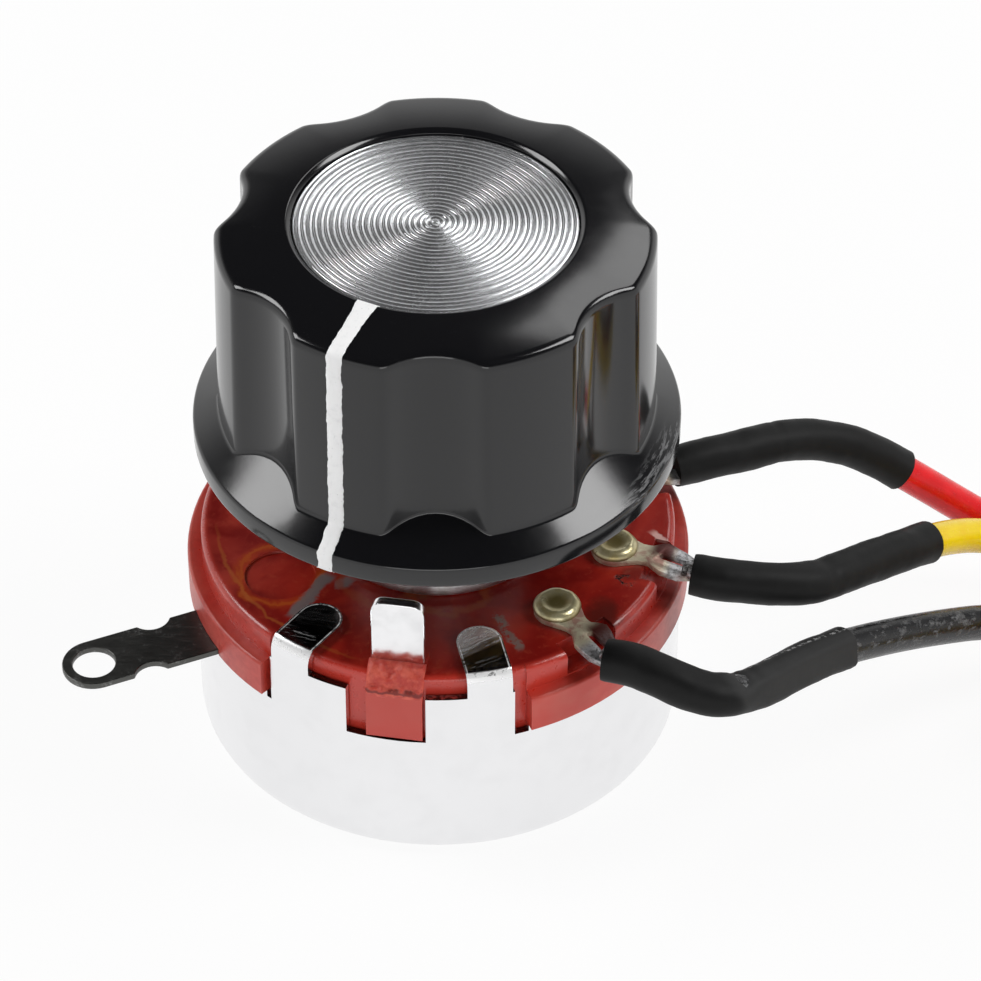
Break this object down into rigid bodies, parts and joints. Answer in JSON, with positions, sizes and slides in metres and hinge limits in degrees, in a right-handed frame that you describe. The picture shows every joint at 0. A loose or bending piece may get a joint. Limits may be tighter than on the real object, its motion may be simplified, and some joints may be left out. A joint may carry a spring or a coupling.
{
  "type": "motor speed control potentiometer",
  "caption": "Round panel potentiometer with a fluted knob on a turning shaft, solder lugs, an earth lug and sleeved leads that end in a plug.",
  "frame": {"origin": "centre of the can's flat bottom face, on the shaft's axis", "axes": "+Z along the shaft towards the knob, +X to the side that the leads leave from, +Y completes the right-handed frame"},
  "size_m": [0.1, 0.033, 0.0339],
  "materials": {
    "knob_plastic": "moulded black, glossy",
    "inlay": "turned, bright",
    "line_paint": "white paint filled in a groove",
    "brass": "turned",
    "dark_steel": "blackened",
    "shaft_metal": "turned",
    "laminate": "brown paper laminate",
    "carbon": "carbon",
    "moulding": "dark red phenolic, glossy",
    "bushing_metal": "plated",
    "nickel": "bright nickel plate",
    "insulator": "pressboard",
    "tinned": "tinned",
    "solder": "solder",
    "dark_lug": "dull plated steel",
    "sleeving": "black shrink sleeve",
    "red_wire": "red lead",
    "yellow_wire": "yellow lead",
    "black_wire": "black lead",
    "strap": "black strap",
    "plug_plastic": "natural white"
  },
  "bodies": {
    "control": {"base_moulding": "moulding", "bushing": "bushing_metal", "can": "nickel", "insulator_disc": "insulator", "resistance_track": "carbon", "collector_ring": "tinned", "terminal_start": "tinned", "terminal_wiper": "tinned", "terminal_end": "tinned", "terminal_rivets": "brass", "solder_joints": "solder", "earth_lug": "dark_lug", "locating_lug": "nickel", "sleeve_red": "sleeving", "sleeve_yellow": "sleeving", "sleeve_black": "sleeving", "lead_red": "red_wire", "lead_yellow": "yellow_wire", "lead_black": "black_wire", "coil_red": "red_wire", "coil_yellow": "yellow_wire", "coil_black": "black_wire", "tail_red": "red_wire", "tail_yellow": "yellow_wire", "tail_black": "black_wire", "coil_tie": "strap", "plug_housing": "plug_plastic", "plug_contacts": "tinned"},
    "knob_and_shaft": {"knob_body": "knob_plastic", "knob_disc": "inlay", "pointer_line": "line_paint", "knob_bush": "brass", "grub_screws": "dark_steel", "shaft": "shaft_metal", "retaining_clip": "dark_steel", "rotor_disc": "laminate", "wiper_spring": "brass", "carbon_brush": "carbon"}
  },
  "joints": [
    {"name": "shaft_turn", "type": "hinge", "parent": "control", "child": "knob_and_shaft", "pos_m": [0, 0, 0.0203], "axis": [0, 0, 1], "range_deg": [-216.2, 53.8]}
  ]
}
